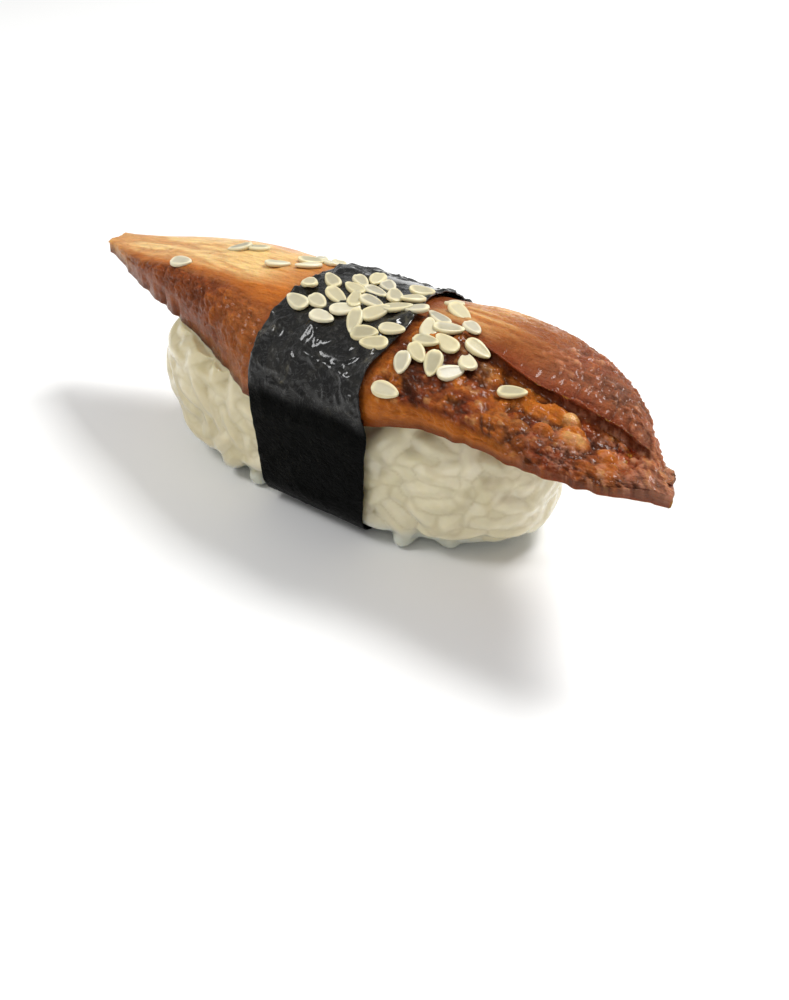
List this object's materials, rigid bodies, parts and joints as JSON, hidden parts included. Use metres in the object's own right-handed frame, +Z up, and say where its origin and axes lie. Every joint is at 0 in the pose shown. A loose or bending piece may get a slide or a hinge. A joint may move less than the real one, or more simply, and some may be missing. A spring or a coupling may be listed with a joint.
{
  "type": "eel nigiri sushi",
  "caption": "Nigiri sushi: a bale of pressed rice under an overhanging bias-cut slice of glazed grilled eel, belted with a strip of nori and strewn with white sesame.",
  "frame": {"origin": "on the table, under the middle of the object's bounding box", "axes": "+X along the slice of eel towards its blunt torn tip, -Y the front, +Z up"},
  "size_m": [0.0892, 0.0286, 0.0277],
  "materials": {
    "rice": "moist, faintly translucent",
    "eel": "sticky glaze",
    "nori": "crinkled, soft sheen"
  },
  "bodies": {
    "root": {"rice": "rice", "eel": "eel", "nori": "nori"}
  },
  "joints": []
}
